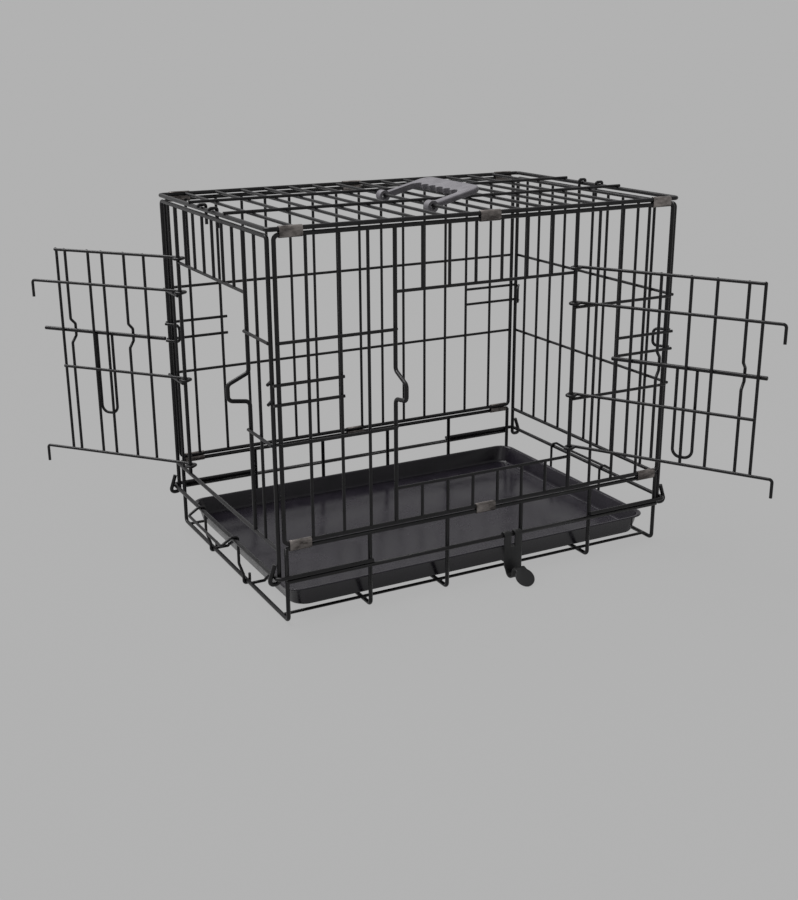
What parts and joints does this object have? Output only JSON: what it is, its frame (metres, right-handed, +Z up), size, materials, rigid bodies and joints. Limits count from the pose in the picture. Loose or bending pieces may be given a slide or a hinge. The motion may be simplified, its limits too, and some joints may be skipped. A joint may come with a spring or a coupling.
{
  "type": "dog crate",
  "caption": "Folding wire crate for a small dog with a front door and an end door on slide bolts, a lift-out plastic pan and a carry handle.",
  "frame": {"origin": "on the floor under the middle of the crate", "axes": "+X along the crate away from the end door, +Y from the front door panel to the back, +Z up"},
  "size_m": [0.7961, 0.7846, 0.5272],
  "materials": {
    "black_coated_wire": "satin black electro-coat",
    "sleeve_steel": "satin grey-brown sheet",
    "handle_plastic": "fine matte grain",
    "latch_plastic": "matte",
    "pan_plastic": "fine leather grain"
  },
  "bodies": {
    "crate": {"base_frame": "black_coated_wire", "left_hinge_rod": "black_coated_wire", "right_hinge_rod": "black_coated_wire", "left_rod_tie": "black_coated_wire", "right_rod_tie": "black_coated_wire", "front_panel": "black_coated_wire", "back_panel": "black_coated_wire", "top_panel": "black_coated_wire", "left_end_panel": "black_coated_wire", "right_end_panel": "black_coated_wire", "sleeve_front_top_left": "sleeve_steel", "sleeve_front_top_middle": "sleeve_steel", "sleeve_front_top_right": "sleeve_steel", "sleeve_front_base_left": "sleeve_steel", "sleeve_front_base_middle": "sleeve_steel", "sleeve_front_base_right": "sleeve_steel", "sleeve_back_top_left": "sleeve_steel", "sleeve_back_top_middle": "sleeve_steel", "sleeve_back_top_right": "sleeve_steel", "sleeve_back_base_left": "sleeve_steel", "sleeve_back_base_middle": "sleeve_steel", "sleeve_back_base_right": "sleeve_steel"},
    "front_door": {"front_door": "black_coated_wire"},
    "left_door": {"left_door": "black_coated_wire"},
    "front_bolt_rod": {"front_bolt_rod": "black_coated_wire"},
    "front_bolt_handle": {"front_bolt_handle": "black_coated_wire"},
    "left_bolt_rod": {"left_bolt_rod": "black_coated_wire"},
    "left_bolt_handle": {"left_bolt_handle": "black_coated_wire"},
    "carry_handle": {"carry_handle": "handle_plastic"},
    "fold_latch": {"fold_latch": "latch_plastic"},
    "pan": {"pan": "pan_plastic"}
  },
  "joints": [
    {"name": "front_door_hinge", "type": "hinge", "parent": "crate", "child": "front_door", "pos_m": [0.1365, -0.2001, 0.2978], "axis": [0, 0, 1], "range_deg": [-120.5, 25]},
    {"name": "left_door_hinge", "type": "hinge", "parent": "crate", "child": "left_door", "pos_m": [-0.303, 0.137, 0.27], "axis": [0, 0, -1], "range_deg": [-140, 12]},
    {"name": "front_bolt_slide", "type": "slide", "parent": "front_door", "child": "front_bolt_rod", "axis": [0.5075, -0.8616, 0], "range_m": [-0.012, 0.03]},
    {"name": "front_bolt_turn", "type": "hinge", "parent": "front_bolt_rod", "child": "front_bolt_handle", "pos_m": [0.22874, -0.31985, 0.302], "axis": [0.5075, -0.8616, 0], "range_deg": [0, 150]},
    {"name": "left_bolt_slide", "type": "slide", "parent": "left_door", "child": "left_bolt_rod", "axis": [-0.6428, 0.766, 0], "range_m": [-0.007, 0.035]},
    {"name": "left_bolt_turn", "type": "hinge", "parent": "left_bolt_rod", "child": "left_bolt_handle", "pos_m": [-0.38509, 0.26393, 0.302], "axis": [0.6428, -0.766, 0], "range_deg": [0, 150]},
    {"name": "carry_handle_hinge", "type": "hinge", "parent": "crate", "child": "carry_handle", "pos_m": [-0.026, 0, 0.506], "axis": [0, -1, 0], "range_deg": [0, 150]},
    {"name": "fold_latch_hinge", "type": "hinge", "parent": "crate", "child": "fold_latch", "pos_m": [0.041, -0.2053, 0.062], "axis": [-1, 0, 0], "range_deg": [0, 110]},
    {"name": "pan_lift", "type": "slide", "parent": "crate", "child": "pan", "axis": [0, 0, 1], "range_m": [0, 0.06]}
  ]
}
